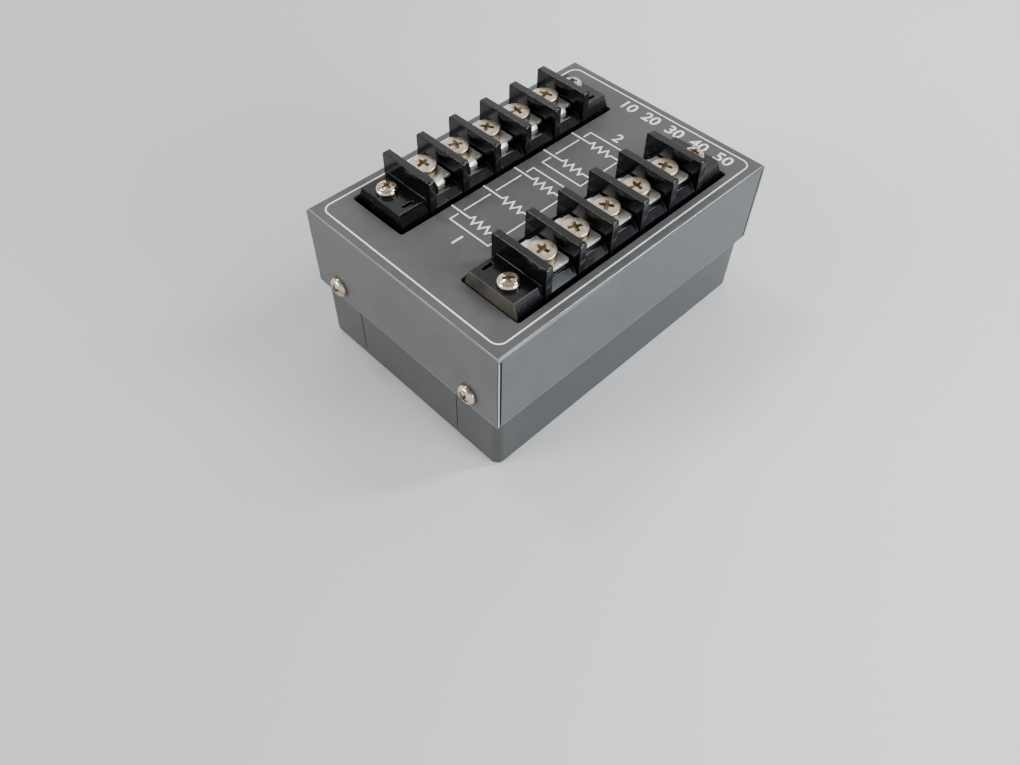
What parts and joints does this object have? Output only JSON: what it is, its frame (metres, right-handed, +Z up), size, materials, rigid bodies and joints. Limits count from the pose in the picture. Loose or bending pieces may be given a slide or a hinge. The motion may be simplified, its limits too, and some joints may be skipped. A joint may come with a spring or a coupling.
{
  "type": "resistor box",
  "caption": "Grey sheet-metal resistor box with a barrier terminal strip along each long side, rising through windows in its top panel.",
  "frame": {"origin": "middle of the footprint, on the surface the box stands on", "axes": "+X to the right along the short front end, +Y to the back along the long side, +Z up"},
  "size_m": [0.07, 0.1042, 0.0535],
  "materials": {
    "cover_paint": "satin grey enamel",
    "base_paint": "satin grey enamel",
    "strip_moulding": "moulded, semi-gloss",
    "terminal_plate": "nickel plated",
    "clamp_washer": "nickel plated",
    "terminal_screw": "nickel plated",
    "fixing_screw": "nickel plated",
    "zinc_steel": "zinc plated",
    "resistor_body": "moulded"
  },
  "bodies": {
    "case": {"cover": "cover_paint", "base_tray": "base_paint", "left_mounting_rail": "zinc_steel", "right_mounting_rail": "zinc_steel", "left_terminal_strip": "strip_moulding", "right_terminal_strip": "strip_moulding", "left_terminal_plate_1": "terminal_plate", "left_terminal_plate_2": "terminal_plate", "left_terminal_plate_3": "terminal_plate", "left_terminal_plate_4": "terminal_plate", "left_terminal_plate_5": "terminal_plate", "right_terminal_plate_1": "terminal_plate", "right_terminal_plate_2": "terminal_plate", "right_terminal_plate_3": "terminal_plate", "right_terminal_plate_4": "terminal_plate", "right_terminal_plate_5": "terminal_plate", "strip_screws": "fixing_screw", "cover_screws": "fixing_screw", "rail_nuts": "zinc_steel", "cover_nuts": "zinc_steel", "resistor_1": "resistor_body", "resistor_2": "resistor_body", "resistor_3": "resistor_body", "resistor_4": "resistor_body", "resistor_5": "resistor_body"},
    "left_washer_1": {"left_clamp_washer_1": "clamp_washer"},
    "left_screw_1": {"left_terminal_screw_1": "terminal_screw"},
    "left_washer_2": {"left_clamp_washer_2": "clamp_washer"},
    "left_screw_2": {"left_terminal_screw_2": "terminal_screw"},
    "left_washer_3": {"left_clamp_washer_3": "clamp_washer"},
    "left_screw_3": {"left_terminal_screw_3": "terminal_screw"},
    "left_washer_4": {"left_clamp_washer_4": "clamp_washer"},
    "left_screw_4": {"left_terminal_screw_4": "terminal_screw"},
    "left_washer_5": {"left_clamp_washer_5": "clamp_washer"},
    "left_screw_5": {"left_terminal_screw_5": "terminal_screw"},
    "right_washer_1": {"right_clamp_washer_1": "clamp_washer"},
    "right_screw_1": {"right_terminal_screw_1": "terminal_screw"},
    "right_washer_2": {"right_clamp_washer_2": "clamp_washer"},
    "right_screw_2": {"right_terminal_screw_2": "terminal_screw"},
    "right_washer_3": {"right_clamp_washer_3": "clamp_washer"},
    "right_screw_3": {"right_terminal_screw_3": "terminal_screw"},
    "right_washer_4": {"right_clamp_washer_4": "clamp_washer"},
    "right_screw_4": {"right_terminal_screw_4": "terminal_screw"},
    "right_washer_5": {"right_clamp_washer_5": "clamp_washer"},
    "right_screw_5": {"right_terminal_screw_5": "terminal_screw"}
  },
  "joints": [
    {"name": "left_clamp_1_lift", "type": "slide", "parent": "case", "child": "left_washer_1", "axis": [0, 0, 1], "range_m": [0, 0.0028]},
    {"name": "left_screw_1_turn", "type": "hinge", "parent": "left_washer_1", "child": "left_screw_1", "pos_m": [-0.02155, -0.022, 0.048], "axis": [0, 0, 1], "range_deg": [0, 1440]},
    {"name": "left_clamp_2_lift", "type": "slide", "parent": "case", "child": "left_washer_2", "axis": [0, 0, 1], "range_m": [0, 0.0028]},
    {"name": "left_screw_2_turn", "type": "hinge", "parent": "left_washer_2", "child": "left_screw_2", "pos_m": [-0.02155, -0.0108, 0.048], "axis": [0, 0, 1], "range_deg": [0, 1440]},
    {"name": "left_clamp_3_lift", "type": "slide", "parent": "case", "child": "left_washer_3", "axis": [0, 0, 1], "range_m": [0, 0.0028]},
    {"name": "left_screw_3_turn", "type": "hinge", "parent": "left_washer_3", "child": "left_screw_3", "pos_m": [-0.02155, 0.0004, 0.048], "axis": [0, 0, 1], "range_deg": [0, 1440]},
    {"name": "left_clamp_4_lift", "type": "slide", "parent": "case", "child": "left_washer_4", "axis": [0, 0, 1], "range_m": [0, 0.0028]},
    {"name": "left_screw_4_turn", "type": "hinge", "parent": "left_washer_4", "child": "left_screw_4", "pos_m": [-0.02155, 0.0116, 0.048], "axis": [0, 0, 1], "range_deg": [0, 1440]},
    {"name": "left_clamp_5_lift", "type": "slide", "parent": "case", "child": "left_washer_5", "axis": [0, 0, 1], "range_m": [0, 0.0028]},
    {"name": "left_screw_5_turn", "type": "hinge", "parent": "left_washer_5", "child": "left_screw_5", "pos_m": [-0.02155, 0.0228, 0.048], "axis": [0, 0, 1], "range_deg": [0, 1440]},
    {"name": "right_clamp_1_lift", "type": "slide", "parent": "case", "child": "right_washer_1", "axis": [0, 0, 1], "range_m": [0, 0.0028]},
    {"name": "right_screw_1_turn", "type": "hinge", "parent": "right_washer_1", "child": "right_screw_1", "pos_m": [0.02155, -0.0228, 0.048], "axis": [0, 0, 1], "range_deg": [0, 1440]},
    {"name": "right_clamp_2_lift", "type": "slide", "parent": "case", "child": "right_washer_2", "axis": [0, 0, 1], "range_m": [0, 0.0028]},
    {"name": "right_screw_2_turn", "type": "hinge", "parent": "right_washer_2", "child": "right_screw_2", "pos_m": [0.02155, -0.0116, 0.048], "axis": [0, 0, 1], "range_deg": [0, 1440]},
    {"name": "right_clamp_3_lift", "type": "slide", "parent": "case", "child": "right_washer_3", "axis": [0, 0, 1], "range_m": [0, 0.0028]},
    {"name": "right_screw_3_turn", "type": "hinge", "parent": "right_washer_3", "child": "right_screw_3", "pos_m": [0.02155, -0.0004, 0.048], "axis": [0, 0, 1], "range_deg": [0, 1440]},
    {"name": "right_clamp_4_lift", "type": "slide", "parent": "case", "child": "right_washer_4", "axis": [0, 0, 1], "range_m": [0, 0.0028]},
    {"name": "right_screw_4_turn", "type": "hinge", "parent": "right_washer_4", "child": "right_screw_4", "pos_m": [0.02155, 0.0108, 0.048], "axis": [0, 0, 1], "range_deg": [0, 1440]},
    {"name": "right_clamp_5_lift", "type": "slide", "parent": "case", "child": "right_washer_5", "axis": [0, 0, 1], "range_m": [0, 0.0028]},
    {"name": "right_screw_5_turn", "type": "hinge", "parent": "right_washer_5", "child": "right_screw_5", "pos_m": [0.02155, 0.022, 0.048], "axis": [0, 0, 1], "range_deg": [0, 1440]}
  ],
  "couplings": [
    {"joint": "left_screw_1_turn", "follows": "left_clamp_1_lift", "rad_per_m": 8975.9},
    {"joint": "left_screw_2_turn", "follows": "left_clamp_2_lift", "rad_per_m": 8975.9},
    {"joint": "left_screw_3_turn", "follows": "left_clamp_3_lift", "rad_per_m": 8975.9},
    {"joint": "left_screw_4_turn", "follows": "left_clamp_4_lift", "rad_per_m": 8975.9},
    {"joint": "left_screw_5_turn", "follows": "left_clamp_5_lift", "rad_per_m": 8975.9},
    {"joint": "right_screw_1_turn", "follows": "right_clamp_1_lift", "rad_per_m": 8975.9},
    {"joint": "right_screw_2_turn", "follows": "right_clamp_2_lift", "rad_per_m": 8975.9},
    {"joint": "right_screw_3_turn", "follows": "right_clamp_3_lift", "rad_per_m": 8975.9},
    {"joint": "right_screw_4_turn", "follows": "right_clamp_4_lift", "rad_per_m": 8975.9},
    {"joint": "right_screw_5_turn", "follows": "right_clamp_5_lift", "rad_per_m": 8975.9}
  ]
}
